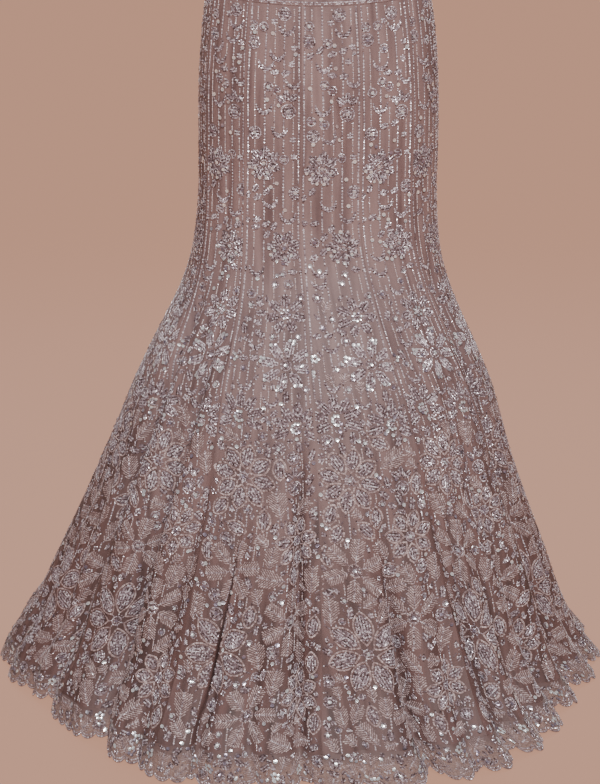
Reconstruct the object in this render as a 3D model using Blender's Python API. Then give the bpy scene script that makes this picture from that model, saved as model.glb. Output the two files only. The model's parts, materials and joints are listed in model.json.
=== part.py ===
"""Mermaid lehenga skirt, filled out as it is when worn.

Twelve kalis (long flared panels) hang from a waistband cut in a front and a back half. They fit
closely down to mid thigh and then flare into a full round hem that falls in flutes. Under each
kali hangs its length of scalloped border. All sizes are in millimetres, turned into metres when a
mesh is made. The origin is the middle of the waist opening, where the wearer holds the skirt up.
+X is to the right of someone who looks at the front, -Y is the front and +Z is up.
"""

from collections import namedtuple
import math

import bmesh
import bpy
import numpy as np

MM = 0.001

KALIS = 12
SCALLOPS = 12                # along the border of one kali
SCALLOP_STEPS = 4            # columns in one scallop
SCALLOP_ROUNDNESS = 0.7      # 1 is a half sine, and less is a fuller scallop
BAND_COLUMNS = 24
SEAM_GAP = 0.3               # between two pieces, where a seam joins them
KALI_WALL = 2.0              # net and its lining, sewn as one layer with the beadwork
BORDER_WALL = 1.6
BAND_WALL = 3.0
BAND_PROUD = 0.8             # the band stands this far out from the kalis
BAND_HEIGHT = 40.0

SEAM_DROP = 12.0             # the waist seam below the origin, at the sides
FRONT_DIP = 18.0             # and this much lower at the centre front
DIP_FADES = 190.0            # the drop at which the rows are level again
BORDER_DROP = 984.0          # where the kalis end and the border starts
HEM_DROP = 1020.0            # the tips of the scallops, on the floor
SCALLOP_DEPTH = 7.0
FLUTE_LIFT = 5.0             # a flute's valley raises the hem by this at most

# One row for each level. drop is measured down from the origin. half_width, front and back are the
# plan's half axes, lean moves the plan's centre along X, turn swings the seams round, in degrees,
# and crowd draws them towards the front and the back, in radians.
Section = namedtuple("Section", "drop half_width front back lean turn crowd")
SECTIONS = [
    Section(-32, 150, 99, 110, 0, -8.2, 0.03),
    Section(12, 155, 103, 116, 0, -8.2, 0.03),
    Section(75, 163, 107, 124, 1, -8.2, 0.03),
    Section(150, 168, 108, 129, 1, -8.2, 0.03),
    Section(230, 169, 107, 127, 1, -8.2, 0.03),
    Section(300, 169, 107, 122, 0, -8.2, 0.03),
    Section(350, 172, 110, 121, -1, -7.5, 0.03),
    Section(400, 179, 122, 130, -2, -5.8, 0.02),
    Section(450, 195, 147, 150, -3, -3.8, 0.01),
    Section(500, 218, 179, 181, -5, -2.0, 0.00),
    Section(550, 242, 209, 211, -6, -0.5, -0.01),
    Section(610, 267, 240, 242, -8, 1.0, -0.01),
    Section(690, 296, 277, 280, -14, 2.8, -0.01),
    Section(770, 328, 315, 319, -18, 3.6, -0.01),
    Section(850, 362, 354, 358, -22, 4.2, -0.01),
    Section(930, 396, 394, 398, -27, 4.6, -0.01),
    Section(975, 424, 430, 432, -31, 4.8, -0.01),
    Section(1000, 440, 456, 456, -28, 4.8, -0.01),
    Section(1020, 452, 480, 479, -24, 4.8, -0.01),
]

# One row for each broad stretch where the hem spreads further than the oval, or less far. middle
# and reach are its place and half breadth, in degrees from the centre front, out is how far it
# moves the hem, in mm, and start is the drop at which it begins.
Swell = namedtuple("Swell", "middle reach out start")
SWELLS = [
    Swell(-57, 34, -36, 720),
    Swell(-20, 15, 8, 820),
    Swell(33, 27, 26, 720),
    Swell(68, 22, -17, 760),
]

# One row for each valley between two flutes of the hem. hem and top are its angles at the hem and
# where it starts, in degrees from the centre front, to the right. depth and reach are its depth
# and its half breadth at the hem, in mm and degrees, and start is the drop at which it begins.
Flute = namedtuple("Flute", "hem top depth reach start")
FLUTES = [
    Flute(-97, -95, 27, 7.5, 600),
    Flute(-83, -80, 22, 6.5, 640),
    Flute(-71, -68, 24, 7.0, 600),
    Flute(-58, -55, 30, 7.5, 540),
    Flute(-45, -41, 32, 8.0, 560),
    Flute(-32, -27, 26, 6.5, 640),
    Flute(-19, -14, 34, 5.0, 660),
    Flute(-8, 2, 16, 5.5, 680),
    Flute(4, 3, 9, 5.0, 780),
    Flute(13, 12, 12, 5.0, 760),
    Flute(22.5, 20, 27, 5.0, 700),
    Flute(31, 30, 20, 4.5, 740),
    Flute(39.5, 36, 27, 5.0, 660),
    Flute(49, 45, 26, 5.5, 640),
    Flute(60, 56, 24, 6.0, 580),
    Flute(72, 68, 26, 6.5, 580),
    Flute(84, 81, 20, 6.0, 640),
    Flute(97, 95, 26, 7.0, 600),
    Flute(109, 108, 22, 7.0, 640),
    Flute(121, 122, 30, 7.0, 580),
    Flute(134, 135, 24, 7.0, 620),
    Flute(147, 147, 28, 7.5, 560),
    Flute(160, 158, 20, 7.0, 680),
    Flute(172, 171, 26, 6.5, 640),
    Flute(184, 184, 24, 6.5, 600),
    Flute(196, 197, 22, 7.0, 660),
    Flute(209, 208, 30, 7.5, 580),
    Flute(222, 221, 24, 7.0, 640),
    Flute(234, 235, 28, 7.0, 600),
    Flute(248, 248, 24, 7.0, 660),
]

# The drops of a kali's rows of points, by how many columns each stretch has.
KALI_DROPS = {
    3: [SEAM_DROP + SEAM_GAP, 60, 130, 210, 290, 350],
    6: [400, 450, 500, 560],
    12: [620, 680, 740, 800, 855, 905, 950, BORDER_DROP],
}


def along_table(rows, field, drop):
    """A smooth curve through one column of the table: cubic Hermite pieces, whose slope at each
    row is that of the line between the rows next to it."""
    at = np.array([row.drop for row in rows], float)
    value = np.array([getattr(row, field) for row in rows], float)
    slope = np.gradient(value, at)
    drop = np.clip(drop, at[0], at[-1])
    i = np.clip(np.searchsorted(at, drop, side="right") - 1, 0, len(at) - 2)
    span = at[i + 1] - at[i]
    s = (drop - at[i]) / span
    return (
        (1 + 2 * s) * (1 - s) ** 2 * value[i]
        + s * (1 - s) ** 2 * span * slope[i]
        + s * s * (3 - 2 * s) * value[i + 1]
        + s * s * (s - 1) * span * slope[i + 1]
    )


def ease(s):
    """0 to 1, level at both ends."""
    s = np.clip(s, 0.0, 1.0)
    return s * s * (3 - 2 * s)


def flute_share(angle, drop):
    """How far in the flutes take the cloth here, in mm: the deepest valley that reaches it. Each
    is a raised cosine across, and grows from its start down to the hem."""
    inward = np.zeros(np.broadcast(angle, drop).shape)
    for flute in FLUTES:
        down = np.clip((drop - flute.start) / (HEM_DROP - flute.start), 0.0, 1.0)
        middle = np.radians(flute.top + (flute.hem - flute.top) * down)
        reach = np.radians(flute.reach) * (1.35 - 0.35 * down)
        off = (angle - middle + math.pi) % math.tau - math.pi
        across = 0.5 + 0.5 * np.cos(math.pi * np.clip(off / reach, -1.0, 1.0))
        inward = np.maximum(inward, flute.depth * down ** 1.2 * across)
    return inward


def swell_share(angle, drop):
    """How far out the broad swells take the cloth here, in mm: the sum of raised cosines."""
    outward = np.zeros(np.broadcast(angle, drop).shape)
    for swell in SWELLS:
        down = np.clip((drop - swell.start) / (HEM_DROP - swell.start), 0.0, 1.0)
        off = (angle - math.radians(swell.middle) + math.pi) % math.tau - math.pi
        across = 0.5 + 0.5 * np.cos(math.pi * np.clip(off / math.radians(swell.reach), -1.0, 1.0))
        outward += swell.out * down ** 1.5 * across
    return outward


def cloth_point(angle, drop):
    """The outer face of the cloth, in mm. angle runs round the cloth, even from seam to seam, and
    drop runs down it. The plan is two half ellipses, moved by the swells and flutes."""
    angle, drop = np.broadcast_arrays(np.asarray(angle, float), np.asarray(drop, float))
    turn = np.radians(along_table(SECTIONS, "turn", drop))
    seen = angle + turn - along_table(SECTIONS, "crowd", drop) * np.sin(2 * angle)
    inward = flute_share(seen, drop)
    spread = swell_share(seen, drop) - inward
    half_width = along_table(SECTIONS, "half_width", drop) + spread
    front = along_table(SECTIONS, "front", drop) + spread
    back = along_table(SECTIONS, "back", drop) + spread
    depth = np.where(np.cos(seen) > 0, front, back)
    dip = FRONT_DIP * ((1 + np.cos(seen)) / 2) ** 2 * (1 - ease((drop - SEAM_DROP) / DIP_FADES))
    lift = FLUTE_LIFT * inward / 30.0 * ease((drop - BORDER_DROP) / (HEM_DROP - BORDER_DROP))
    return np.stack(
        [
            along_table(SECTIONS, "lean", drop) + half_width * np.sin(seen),
            -depth * np.cos(seen),
            -drop - dip + lift,
        ],
        axis=-1,
    )


def cloth_out(angle, drop, step=0.004, rise=2.0):
    """The unit normal of the cloth, pointing out, from the slopes round it and down it."""
    round_it = cloth_point(angle + step, drop) - cloth_point(angle - step, drop)
    down_it = cloth_point(angle, drop + rise) - cloth_point(angle, drop - rise)
    normal = np.cross(down_it, round_it)
    return normal / np.linalg.norm(normal, axis=-1, keepdims=True)


def seam_angle(number):
    """Where the seam before kali number lies."""
    return math.tau * number / KALIS


def angles_between(first, last, columns, drop, step=0.002):
    """The angles of one row of a piece's points, from seam to seam less half the gap at each."""
    trim = []
    for seam in (first, last):
        pace = cloth_point(seam + step, drop) - cloth_point(seam - step, drop)
        trim.append(SEAM_GAP / 2 * 2 * step / np.linalg.norm(pace))
    return np.linspace(first + trim[0], last - trim[1], columns + 1)


def bridge(upper, lower):
    """Faces between two rows of vertex numbers, where the lower row has as many or twice as many."""
    if len(upper) == len(lower):
        return [
            (upper[i], lower[i], lower[i + 1], upper[i + 1]) for i in range(len(upper) - 1)
        ]
    faces = []
    for i in range(len(upper) - 1):
        left, middle, right = lower[2 * i], lower[2 * i + 1], lower[2 * i + 2]
        faces += [
            (upper[i], left, middle),
            (upper[i], middle, upper[i + 1]),
            (upper[i + 1], middle, right),
        ]
    return faces


def wall(name, outer, inner, material):
    """A closed wall between two like sets of rows of points, outer and inner, joined at its rim.
    The inner rows follow the cloth's own normals, so the rims of two neighbours stay parallel."""
    points, numbers = [], []
    for rows in (outer, inner):
        numbers.append([])
        for row in rows:
            numbers[-1].append(list(range(len(points), len(points) + len(row))))
            points.extend(row)
    out, back = numbers
    faces = []
    for i in range(len(out) - 1):
        faces += bridge(out[i], out[i + 1])
        faces += [face[::-1] for face in bridge(back[i], back[i + 1])]
        faces.append((out[i][0], back[i][0], back[i + 1][0], out[i + 1][0]))
        faces.append((out[i][-1], out[i + 1][-1], back[i + 1][-1], back[i][-1]))
    for top, foot in ((out[0], back[0]), (back[-1], out[-1])):
        for i in range(len(top) - 1):
            faces.append((top[i], top[i + 1], foot[i + 1], foot[i]))
    mesh = bpy.data.meshes.new(name)
    mesh.from_pydata([tuple(p) for p in np.array(points) * MM], [], faces)
    tidy = bmesh.new()
    tidy.from_mesh(mesh)
    bmesh.ops.recalc_face_normals(tidy, faces=tidy.faces)
    tidy.to_mesh(mesh)
    tidy.free()
    mesh.materials.append(material)
    mesh.shade_smooth()
    mesh.set_sharp_from_angle(angle=math.radians(50))
    obj = bpy.data.objects.new(name, mesh)
    bpy.data.collections["mermaid_lehenga_skirt"].objects.link(obj)
    return obj


def kali(number, material):
    """One panel, from the waist seam to the border. Its rows get more columns as it flares."""
    outer, inner = [], []
    for columns, drops in KALI_DROPS.items():
        for drop in drops:
            angles = angles_between(seam_angle(number), seam_angle(number + 1), columns, drop)
            points = cloth_point(angles, drop)
            outer.append(points)
            inner.append(points - KALI_WALL * cloth_out(angles, drop))
    return wall(f"kali_{number + 1:02d}", outer, inner, material)


def hem_border(number, material):
    """The border under one kali: flat between the kali's columns, with one scallop for each, a
    power of a half sine deep."""
    share = np.linspace(0, SCALLOPS, SCALLOPS * SCALLOP_STEPS + 1)
    tongue = np.abs(np.sin(math.pi * share)) ** SCALLOP_ROUNDNESS
    outer, inner = [], []
    for drop in (BORDER_DROP + SEAM_GAP, HEM_DROP):
        angles = angles_between(seam_angle(number), seam_angle(number + 1), SCALLOPS, drop)
        coarse = np.hstack([cloth_point(angles, drop), cloth_out(angles, drop)])
        corner = np.arange(SCALLOPS + 1)
        fine = np.stack([np.interp(share, corner, column) for column in coarse.T], axis=-1)
        points, out = fine[:, :3], fine[:, 3:]
        if drop == HEM_DROP:
            up = outer[-1] - points
            up /= np.linalg.norm(up, axis=-1, keepdims=True)
            points = points + up * (SCALLOP_DEPTH * (1 - tongue))[:, None]
        outer.append(points)
        inner.append(points - BORDER_WALL * out)
    return wall(f"hem_border_{number + 1:02d}", outer, inner, material)


def waistband(name, first, last, material):
    """Half of the band that the kalis hang from, between two side seams, following the dip."""
    outer, inner = [], []
    for drop in (SEAM_DROP - BAND_HEIGHT, SEAM_DROP - BAND_HEIGHT / 2, SEAM_DROP):
        angles = angles_between(first, last, BAND_COLUMNS, drop)
        points = cloth_point(angles, drop)
        out = cloth_out(angles, drop)
        outer.append(points + BAND_PROUD * out)
        inner.append(points - (BAND_WALL - BAND_PROUD) * out)
    return wall(name, outer, inner, material)


def cloth_material(name, colour, roughness):
    """A plain Principled finish in the colour of the photograph."""
    material = bpy.data.materials.new(name)
    material.use_nodes = True
    shader = material.node_tree.nodes["Principled BSDF"]
    shader.inputs["Base Color"].default_value = (*colour, 1.0)
    shader.inputs["Roughness"].default_value = roughness
    shader.inputs["Metallic"].default_value = 0.0
    return material


def main():
    for obj in list(bpy.data.objects):
        bpy.data.objects.remove(obj)
    skirt = bpy.data.collections.new("mermaid_lehenga_skirt")
    bpy.context.scene.collection.children.link(skirt)

    ground = cloth_material("beaded_ground", (0.34, 0.21, 0.19), 0.55)
    border = cloth_material("border_net", (0.45, 0.35, 0.33), 0.60)
    band = cloth_material("band_cloth", (0.38, 0.26, 0.24), 0.50)

    quarter = math.pi / 2
    right_side = quarter - math.radians(along_table(SECTIONS, "turn", SEAM_DROP))
    waistband("waistband_front", right_side - 2 * quarter, right_side, band)
    waistband("waistband_back", right_side, right_side + 2 * quarter, band)
    for number in range(KALIS):
        kali(number, ground)
        hem_border(number, border)


main()
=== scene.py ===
"""Dresses the mermaid lehenga skirt: fine cloth, beadwork, and a plain stage with its camera.

The solid pieces come from the frame, and each is replaced by cloth of the same form with finer
folds. Everything on a panel is laid out flat first, in mm across and down, and is then carried
onto the cloth. Sizes are in mm until a mesh is made. -Y is the front and +Z is up.
"""

import json
import math
from collections import namedtuple

import bpy
import numpy as np
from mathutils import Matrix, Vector

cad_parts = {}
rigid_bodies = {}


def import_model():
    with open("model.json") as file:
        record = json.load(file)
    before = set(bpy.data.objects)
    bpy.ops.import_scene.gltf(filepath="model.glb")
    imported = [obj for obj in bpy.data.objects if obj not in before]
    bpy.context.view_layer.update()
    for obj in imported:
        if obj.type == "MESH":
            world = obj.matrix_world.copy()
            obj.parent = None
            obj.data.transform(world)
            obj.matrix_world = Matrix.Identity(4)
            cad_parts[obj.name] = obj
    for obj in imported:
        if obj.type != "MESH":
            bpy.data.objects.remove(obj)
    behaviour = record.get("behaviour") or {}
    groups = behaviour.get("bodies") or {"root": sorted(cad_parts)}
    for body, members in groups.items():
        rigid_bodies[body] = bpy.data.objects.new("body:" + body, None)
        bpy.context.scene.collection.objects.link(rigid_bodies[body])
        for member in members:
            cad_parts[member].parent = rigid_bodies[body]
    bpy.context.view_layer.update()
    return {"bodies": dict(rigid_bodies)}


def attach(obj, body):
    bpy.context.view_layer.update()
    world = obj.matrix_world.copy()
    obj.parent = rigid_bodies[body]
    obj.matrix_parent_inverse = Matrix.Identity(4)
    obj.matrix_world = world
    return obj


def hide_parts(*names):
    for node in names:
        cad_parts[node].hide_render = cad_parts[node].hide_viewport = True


bl_info = {
    "name": "Mermaid Lehenga Skirt",
    "version": (1, 0, 0),
    "blender": (4, 5, 0),
    "location": "View3D > Sidebar > Skirt",
    "description": "Makes the cloth, the beadwork and the stage of a beaded mermaid lehenga skirt",
    "category": "Add Mesh",
}

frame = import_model()
BODY = next(iter(frame["bodies"]))
FLAT_MAP = "flat_cloth"
BAKE_MAP = "OFBake"

MM = 0.001
KALIS = 12
SCALLOPS = 12
CUT_WIDTH = 1700.0
CREVICE_KALI = 11
CREVICE_COLUMNS = 121
KALI_COLUMNS = 49
BAND_HEIGHT = 40.0
BAND_PROUD = 0.8
SEAM_DROP = 12.0
FRONT_DIP = 18.0
DIP_FADES = 190.0
BORDER_DROP = 984.0
HEM_DROP = 1020.0
SCALLOP_DEPTH = 7.0
SCALLOP_ROUNDNESS = 0.7
SCALLOP_COLUMNS = 6
MEASURE_STEPS = 641
FLARE_DROP = 430
DENSE_DROP = 560
FLUTE_LIFT = 5.0
PHOTO_HEIGHT = 784
LENS_PIXELS = 2576.0
CAMERA_LEFT = -0.025
FLOOR_REACH = 40.0
FLOOR_GAP = 0.0005

# The plan of the skirt at each drop below the origin: half axes, the shift of its centre along X,
# how far the seams swing round, in degrees, and how they crowd to front and back, in radians.
Section = namedtuple("Section", "drop half_width front back lean turn crowd")
SECTIONS = [
    Section(-32, 150, 99, 110, 0, -8.2, 0.03),
    Section(12, 155, 103, 116, 0, -8.2, 0.03),
    Section(75, 163, 107, 124, 1, -8.2, 0.03),
    Section(150, 168, 108, 129, 1, -8.2, 0.03),
    Section(230, 169, 107, 127, 1, -8.2, 0.03),
    Section(300, 169, 107, 122, 0, -8.2, 0.03),
    Section(350, 172, 110, 121, -1, -7.5, 0.03),
    Section(400, 179, 122, 130, -2, -5.8, 0.02),
    Section(450, 195, 147, 150, -3, -3.8, 0.01),
    Section(500, 218, 179, 181, -5, -2.0, 0.00),
    Section(550, 242, 209, 211, -6, -0.5, -0.01),
    Section(610, 267, 240, 242, -8, 1.0, -0.01),
    Section(690, 296, 277, 280, -14, 2.8, -0.01),
    Section(770, 328, 315, 319, -18, 3.6, -0.01),
    Section(850, 362, 354, 358, -22, 4.2, -0.01),
    Section(930, 396, 394, 398, -27, 4.6, -0.01),
    Section(975, 424, 430, 432, -31, 4.8, -0.01),
    Section(1000, 440, 456, 456, -28, 4.8, -0.01),
    Section(1020, 452, 480, 479, -24, 4.8, -0.01),
]

# Broad stretches where the hem spreads further than the oval, or less far.
Swell = namedtuple("Swell", "middle reach out start")
SWELLS = [
    Swell(-57, 34, -36, 720),
    Swell(-20, 15, 8, 820),
    Swell(33, 27, 26, 720),
    Swell(68, 22, -17, 760),
]

# The valleys between the flutes of the hem: angles at the hem and where each starts, in degrees
# from the centre front, its depth and half breadth at the hem, and the drop at which it starts.
Flute = namedtuple("Flute", "hem top depth reach start")
FLUTES = [
    Flute(-97, -95, 22, 7.5, 600),
    Flute(-83, -80, 15, 6.5, 640),
    Flute(-71, -68, 18, 7.0, 600),
    Flute(-64, -58, 30, 6.5, 440),
    Flute(-42, -47, 36, 6.5, 440),
    Flute(-31, -29, 14, 5.5, 640),
    Flute(-19, -15, 12, 5.0, 700),
    Flute(-8.5, -10, 18, 4.5, 760),
    Flute(1, -4, 26, 4.5, 600),
    Flute(12, 12, 12, 4.5, 760),
    Flute(24, 19, 34, 4.5, 680),
    Flute(32, 31, 20, 4.0, 740),
    Flute(41, 35, 30, 4.5, 640),
    Flute(50, 45, 24, 4.5, 640),
    Flute(61, 50, 30, 5.5, 520),
    Flute(72, 68, 26, 6.5, 580),
    Flute(84, 81, 20, 6.0, 640),
    Flute(97, 95, 26, 7.0, 600),
    Flute(109, 108, 22, 7.0, 640),
    Flute(121, 122, 30, 7.0, 580),
    Flute(134, 135, 24, 7.0, 620),
    Flute(147, 147, 28, 7.5, 560),
    Flute(160, 158, 20, 7.0, 680),
    Flute(172, 171, 26, 6.5, 640),
    Flute(184, 184, 24, 6.5, 600),
    Flute(196, 197, 22, 7.0, 660),
    Flute(209, 208, 30, 7.5, 580),
    Flute(222, 221, 24, 7.0, 640),
    Flute(234, 235, 28, 7.0, 600),
    Flute(248, 248, 24, 7.0, 660),
]

# Narrow creases that only the fine cloth has: where each starts and ends, as an angle from the
# centre front in degrees and a drop, its depth, and its half breadth in degrees.
Crease = namedtuple("Crease", "top_angle top foot_angle foot depth reach")
CREVICE = Crease(-16.8, 715, -20.5, 1110, 13, 0.2)
CREASES = [
    CREVICE,
    Crease(-15.6, 715, -19.3, 1110, 6, 1.3),
    Crease(2, 60, 6, 190, 3.0, 3.0),
    Crease(6, 130, 13, 300, 7.0, 2.6),
    Crease(-24, 70, -17, 250, 2.2, 3.0),
    Crease(33, 150, 27, 330, 2.4, 3.0),
    Crease(-46, 200, -52, 420, 3.0, 3.0),
    Crease(-40, 480, -45, 990, 26, 1.9),
    Crease(-57, 430, -63, 960, 28, 2.1),
    Crease(-28, 640, -33, 940, 6, 1.8),
    Crease(-3, 620, 0, 980, 11, 1.3),
    Crease(20, 760, 24, 1060, 16, 1.2),
    Crease(40, 700, 40, 1080, 18, 0.9),
    Crease(47, 560, 57, 1000, 10, 1.5),
    Crease(64, 380, 76, 980, 16, 3.0),
    Crease(78, 560, 84, 900, 7, 2.4),
    Crease(-74, 520, -80, 880, 7, 2.4),
    Crease(104, 540, 110, 940, 7, 2.4),
    Crease(118, 180, 112, 380, 2.6, 3.2),
    Crease(140, 620, 146, 960, 8, 2.0),
    Crease(166, 540, 163, 900, 7, 2.2),
    Crease(180, 120, 176, 340, 3.2, 3.4),
    Crease(190, 600, 194, 980, 8, 2.0),
    Crease(216, 560, 222, 920, 7, 2.2),
    Crease(232, 160, 238, 360, 2.6, 3.2),
    Crease(244, 560, 250, 940, 7, 2.4),
]


def length(name, description, mm):
    """A size that a user can change."""
    return bpy.props.FloatProperty(
        name=name, description=description, default=mm * MM, min=0.0, unit="LENGTH"
    )


def colour(name, description, red, green, blue):
    """A colour that a user can change. Its default is given as it looks, 0 to 255, and turned
    into the shader's linear values."""
    return bpy.props.FloatVectorProperty(
        name=name, description=description, min=0.0, max=1.0, subtype="COLOR",
        default=tuple((value / 255) ** 2.2 for value in (red, green, blue)),
    )


class ClothSettings(bpy.types.PropertyGroup):
    """Walls and colours of the cloth"""

    kali_wall: length("Kali Wall", "Thickness of a kali's net and lining together", 1.4)
    band_wall: length("Waistband Wall", "Thickness of the waistband's layers together", 3.0)
    border_wall: length("Border Wall", "Thickness of the border's single net", 0.5)
    # The dark and light ground tones are the two ends of the painted fold shade in net_on_lining,
    # mixed with the lining's random tone.
    upper_dark: colour("Upper Dark", "Darker tone of the ground at the hip", 96, 73, 73)
    upper_light: colour("Upper Light", "Lighter tone of the ground at the hip", 144, 118, 116)
    upper_thread: colour("Upper Thread", "Threads of the net at the hip", 170, 145, 144)
    lower_dark: colour("Lower Dark", "Darker tone of the ground at the hem", 66, 45, 43)
    lower_light: colour("Lower Light", "Lighter tone of the ground at the hem", 113, 84, 81)
    lower_thread: colour("Lower Thread", "Threads of the net at the hem", 140, 114, 111)
    sheen: colour("Sheen", "Tint of the net's sheen", 210, 194, 192)
    lining_dark: colour("Lining Dark", "Darker tone of the lining's inner face", 120, 94, 92)
    lining_light: colour("Lining Light", "Lighter tone of the lining's inner face", 150, 122, 118)
    border_dark: colour("Border Dark", "Darker tone of the border's net", 110, 87, 85)
    border_light: colour("Border Light", "Lighter tone of the border's net", 154, 130, 127)
    border_worked: colour("Border Worked", "The border's net where it is closed up", 106, 81, 78)


class BeadSettings(bpy.types.PropertyGroup):
    """Size and colours of the beads"""

    size: bpy.props.FloatProperty(
        name="Bead Size", description="Size of every bead, as a share of its own", default=1.0,
        min=0.5, max=1.5, subtype="FACTOR",
    )
    glass_dark: colour("Glass Dark", "The darkest glass beads", 80, 63, 64)
    glass_dim: colour("Glass Dim", "Glass beads a little under the middle", 141, 123, 129)
    glass_light: colour("Glass Light", "The lighter glass beads", 205, 189, 197)
    # Also the painted glint of the seed beads
    glass_bright_and_glint: colour("Glass Bright", "The brightest glass beads", 255, 248, 255)
    rose_dark: colour("Rose Dark", "The darkest rose beads", 92, 72, 71)
    rose_middle: colour("Rose Middle", "The middle rose beads", 166, 142, 141)
    # Also the painted glint of the bugles
    rose_light_and_glint: colour("Rose Light", "The lightest rose beads", 222, 200, 199)
    foil_dark: colour("Foil Dark", "The darkest sequins", 96, 82, 86)
    foil_middle: colour("Foil Middle", "The middle sequins", 160, 146, 162)
    # White foil of the bright sequins, partly a painted highlight besides their real reflection
    foil_bright_and_glint: colour("Foil Bright", "The brightest sequins", 255, 254, 255)


class StageSettings(bpy.types.PropertyGroup):
    """Floor, light and camera"""

    floor: colour("Floor", "Colour of the floor where light falls on it", 50, 34, 25)
    glow: colour("Floor Glow", "Even light that the floor gives, like a lit backdrop", 203, 151, 127)
    key_power: bpy.props.FloatProperty(
        name="Key Light", description="Power of the main soft light", default=205.0, min=0.0,
        unit="POWER",
    )
    camera_away: length("Camera Away", "How far the camera stands in front", 3600.0)
    camera_up: length("Camera Up", "How high the camera stands over the floor", 1500.0)
    camera_pitch: bpy.props.FloatProperty(
        name="Camera Pitch", description="How far down the camera looks",
        default=math.radians(16.82), subtype="ANGLE",
    )


class SkirtSettings(bpy.types.PropertyGroup):
    """The settings of all the operators"""

    cloth: bpy.props.PointerProperty(name="Cloth", description="Cloth", type=ClothSettings)
    beads: bpy.props.PointerProperty(name="Beads", description="Beads", type=BeadSettings)
    stage: bpy.props.PointerProperty(name="Stage", description="Stage", type=StageSettings)


def along_table(rows, field, drop):
    """A smooth curve through one column of a table: cubic Hermite pieces, whose slope at each row
    is that of the line between the rows next to it."""
    at = np.array([row.drop for row in rows], float)
    value = np.array([getattr(row, field) for row in rows], float)
    slope = np.gradient(value, at)
    drop = np.clip(drop, at[0], at[-1])
    i = np.clip(np.searchsorted(at, drop, side="right") - 1, 0, len(at) - 2)
    span = at[i + 1] - at[i]
    s = (drop - at[i]) / span
    return (
        (1 + 2 * s) * (1 - s) ** 2 * value[i]
        + s * (1 - s) ** 2 * span * slope[i]
        + s * s * (3 - 2 * s) * value[i + 1]
        + s * s * (s - 1) * span * slope[i + 1]
    )


def ease(s):
    """0 to 1, level at both ends: 3 s squared less 2 s cubed."""
    s = np.clip(s, 0.0, 1.0)
    return s * s * (3 - 2 * s)


def off_angle(angle, middle):
    """The angle from the middle, in radians, the short way round."""
    return (angle - middle + math.pi) % math.tau - math.pi


def hump(off, reach):
    """A raised cosine: 1 at the middle and 0 from the reach on."""
    return 0.5 + 0.5 * np.cos(math.pi * np.clip(off / reach, -1.0, 1.0))


def flute_share(angle, drop):
    """How far in the flutes take the cloth: the deepest valley there, a narrow hump on a broad one,
    growing as a power of the way down from its start."""
    inward = np.zeros(angle.shape)
    for flute in FLUTES:
        down = np.clip((drop - flute.start) / (HEM_DROP - flute.start), 0.0, 1.0)
        middle = np.radians(flute.top + (flute.hem - flute.top) * down)
        reach = np.radians(flute.reach) * (1.35 - 0.35 * down)
        off = off_angle(angle, middle)
        across = 0.65 * hump(off, reach) + 0.35 * hump(off, 0.4 * reach)
        inward = np.maximum(inward, flute.depth * down ** 0.85 * across)
    return inward


def swell_share(angle, drop):
    """How far out the broad swells take the cloth: a sum of raised cosines."""
    outward = np.zeros(angle.shape)
    for swell in SWELLS:
        down = np.clip((drop - swell.start) / (HEM_DROP - swell.start), 0.0, 1.0)
        across = hump(off_angle(angle, math.radians(swell.middle)), math.radians(swell.reach))
        outward += swell.out * down ** 1.5 * across
    return outward


def crease_share(angle, drop):
    """How far in the narrow creases take the cloth: each is a bell across and a half sine along."""
    inward = np.zeros(angle.shape)
    for crease in CREASES:
        down = np.clip((drop - crease.top) / (crease.foot - crease.top), 0.0, 1.0)
        middle = np.radians(crease.top_angle + (crease.foot_angle - crease.top_angle) * down)
        off = off_angle(angle, middle) / math.radians(crease.reach)
        inward += crease.depth * np.sin(math.pi * down) ** 0.8 * np.exp(-off * off)
    return inward


def cloth_point(angle, drop):
    """The outer face of the cloth. angle runs round it, even from seam to seam, and drop down it.
    The plan is two half ellipses, moved by the swells, flutes and creases."""
    angle, drop = np.broadcast_arrays(np.asarray(angle, float), np.asarray(drop, float))
    turn = np.radians(along_table(SECTIONS, "turn", drop))
    seen = angle + turn - along_table(SECTIONS, "crowd", drop) * np.sin(2 * angle)
    inward = flute_share(seen, drop)
    spread = swell_share(seen, drop) - inward - crease_share(seen, drop)
    half_width = along_table(SECTIONS, "half_width", drop) + spread
    front = along_table(SECTIONS, "front", drop) + spread
    back = along_table(SECTIONS, "back", drop) + spread
    depth = np.where(np.cos(seen) > 0, front, back)
    dip = FRONT_DIP * ((1 + np.cos(seen)) / 2) ** 2 * (1 - ease((drop - SEAM_DROP) / DIP_FADES))
    lift = FLUTE_LIFT * inward / 30.0 * ease((drop - BORDER_DROP) / (HEM_DROP - BORDER_DROP))
    return np.stack(
        [
            along_table(SECTIONS, "lean", drop) + half_width * np.sin(seen),
            -depth * np.cos(seen),
            -drop - dip + lift,
        ],
        axis=-1,
    )


def unit(vectors):
    """The vectors at length 1."""
    return vectors / np.linalg.norm(vectors, axis=-1, keepdims=True)


def cloth_out(angle, drop, step=0.002, rise=1.5):
    """The unit normal of the cloth, pointing out, from its slopes round and down."""
    round_it = cloth_point(angle + step, drop) - cloth_point(angle - step, drop)
    down_it = cloth_point(angle, drop + rise) - cloth_point(angle, drop - rise)
    return unit(np.cross(down_it, round_it))


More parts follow.
